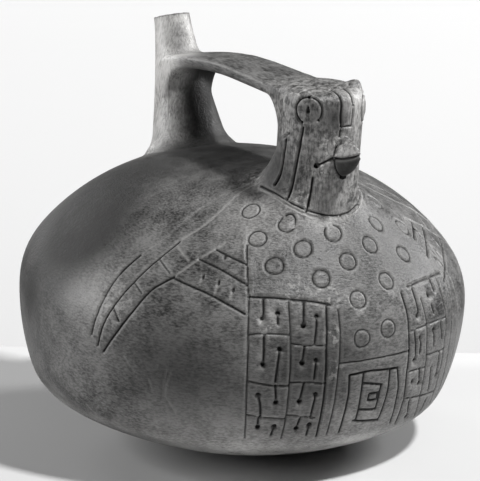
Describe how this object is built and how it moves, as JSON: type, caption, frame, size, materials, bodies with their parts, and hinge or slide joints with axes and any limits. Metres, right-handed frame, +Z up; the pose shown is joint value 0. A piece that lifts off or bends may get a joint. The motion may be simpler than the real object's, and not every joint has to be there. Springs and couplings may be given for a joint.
{
  "type": "bird-shaped pitcher",
  "caption": "Bird-shaped pitcher of dark burnished clay: squat hollow body with a leaning spout, a bird head as blind spout, a strap bridge between them and incised feathers, rings and panels",
  "frame": {"origin": "on the ground under the middle of the bounding box", "axes": "+Z is up; the bird faces -Y, the spout is at +Y, and the bird's left side is +X"},
  "size_m": [0.1696, 0.1696, 0.1562],
  "materials": {
    "clay": "burnished, dark grey"
  },
  "bodies": {
    "root": {"bowl": "clay", "shoulder": "clay", "spout_and_head": "clay"}
  },
  "joints": []
}
